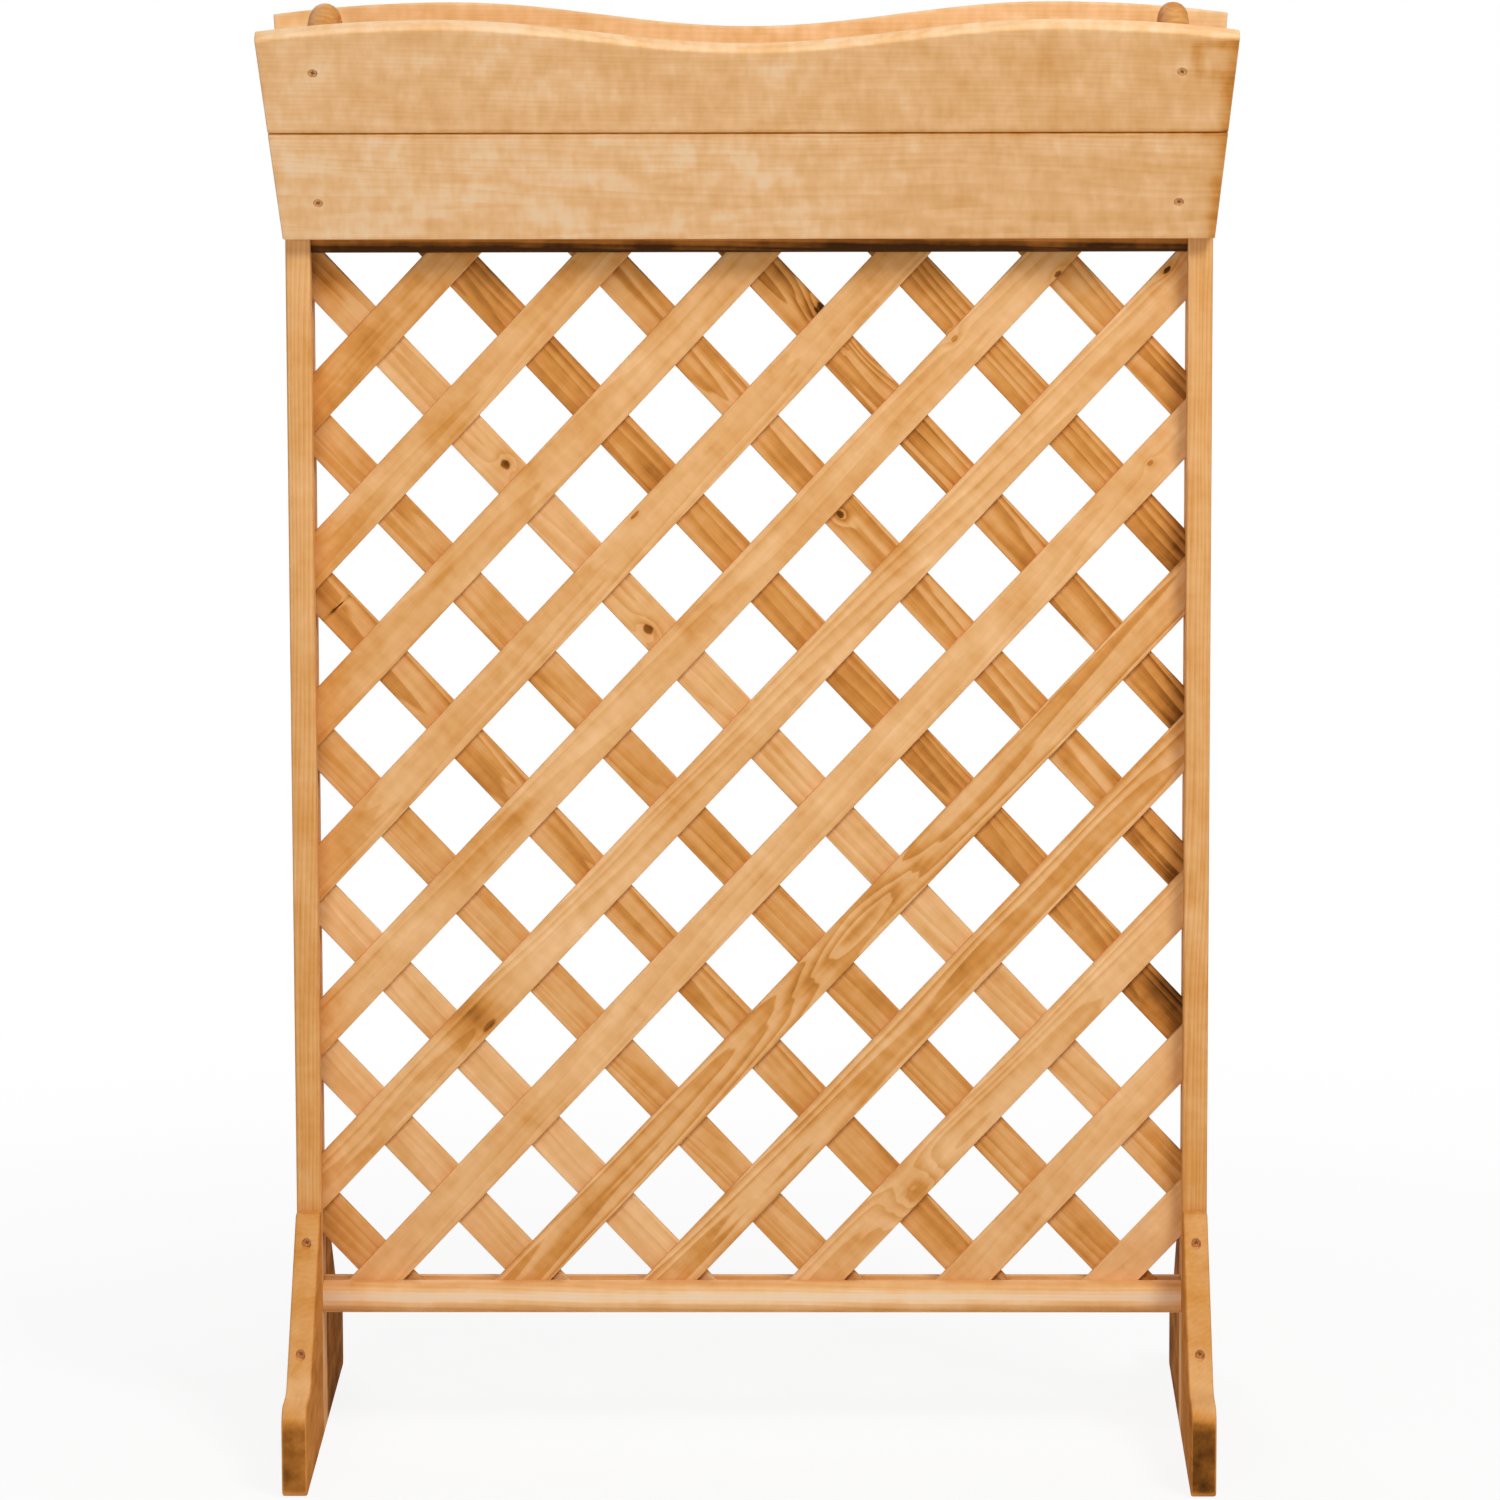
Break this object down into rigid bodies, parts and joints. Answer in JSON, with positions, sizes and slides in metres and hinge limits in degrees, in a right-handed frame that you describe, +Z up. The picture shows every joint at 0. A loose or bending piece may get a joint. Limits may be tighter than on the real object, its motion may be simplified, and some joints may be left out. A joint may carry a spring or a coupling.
{
  "type": "trellis planter",
  "caption": "Wooden trough planter held high on two footed posts, with a diagonal lattice screen of flat slats below it for climbing plants.",
  "frame": {"origin": "on the floor, midway between the two posts and midway between the front and back boards", "axes": "+Z up, +X along the trough to the right seen from the front, front board faces -Y"},
  "size_m": [0.927, 0.54, 1.4],
  "materials": {
    "board_stain": "satin clear honey stain on planed pine",
    "post_stain": "satin honey stain on planed pine",
    "rail_stain": "satin honey stain on planed pine",
    "slat_front_stain": "satin honey stain on planed pine slats with strong grain",
    "slat_back_stain": "deeper orange stain on planed pine slats",
    "foot_stain": "satin honey stain on planed pine",
    "screw_steel": "yellow-passivated steel, dulled by stain"
  },
  "bodies": {
    "root": {"post_left": "post_stain", "end_board_left": "board_stain", "foot_front_left": "foot_stain", "foot_back_left": "foot_stain", "post_right": "post_stain", "end_board_right": "board_stain", "foot_front_right": "foot_stain", "foot_back_right": "foot_stain", "rail_bottom": "rail_stain", "rail_top": "rail_stain", "front_board_lower": "board_stain", "front_board_upper": "board_stain", "slat_front_01": "slat_front_stain", "slat_front_02": "slat_front_stain", "slat_front_03": "slat_front_stain", "slat_front_04": "slat_front_stain", "slat_front_05": "slat_front_stain", "slat_front_06": "slat_front_stain", "slat_front_07": "slat_front_stain", "slat_front_08": "slat_front_stain", "slat_front_09": "slat_front_stain", "slat_front_10": "slat_front_stain", "slat_front_11": "slat_front_stain", "slat_front_12": "slat_front_stain", "back_board_lower": "board_stain", "back_board_upper": "board_stain", "slat_back_01": "slat_back_stain", "slat_back_02": "slat_back_stain", "slat_back_03": "slat_back_stain", "slat_back_04": "slat_back_stain", "slat_back_05": "slat_back_stain", "slat_back_06": "slat_back_stain", "slat_back_07": "slat_back_stain", "slat_back_08": "slat_back_stain", "slat_back_09": "slat_back_stain", "slat_back_10": "slat_back_stain", "slat_back_11": "slat_back_stain", "slat_back_12": "slat_back_stain", "planter_floor": "board_stain", "screw_end_left_lower": "screw_steel", "screw_board_front_left_lower": "screw_steel", "screw_foot_front_left_lower": "screw_steel", "screw_board_back_left_lower": "screw_steel", "screw_foot_back_left_lower": "screw_steel", "screw_end_left_upper": "screw_steel", "screw_board_front_left_upper": "screw_steel", "screw_foot_front_left_upper": "screw_steel", "screw_board_back_left_upper": "screw_steel", "screw_foot_back_left_upper": "screw_steel", "screw_end_right_lower": "screw_steel", "screw_board_front_right_lower": "screw_steel", "screw_foot_front_right_lower": "screw_steel", "screw_board_back_right_lower": "screw_steel", "screw_foot_back_right_lower": "screw_steel", "screw_end_right_upper": "screw_steel", "screw_board_front_right_upper": "screw_steel", "screw_foot_front_right_upper": "screw_steel", "screw_board_back_right_upper": "screw_steel", "screw_foot_back_right_upper": "screw_steel"}
  },
  "joints": []
}
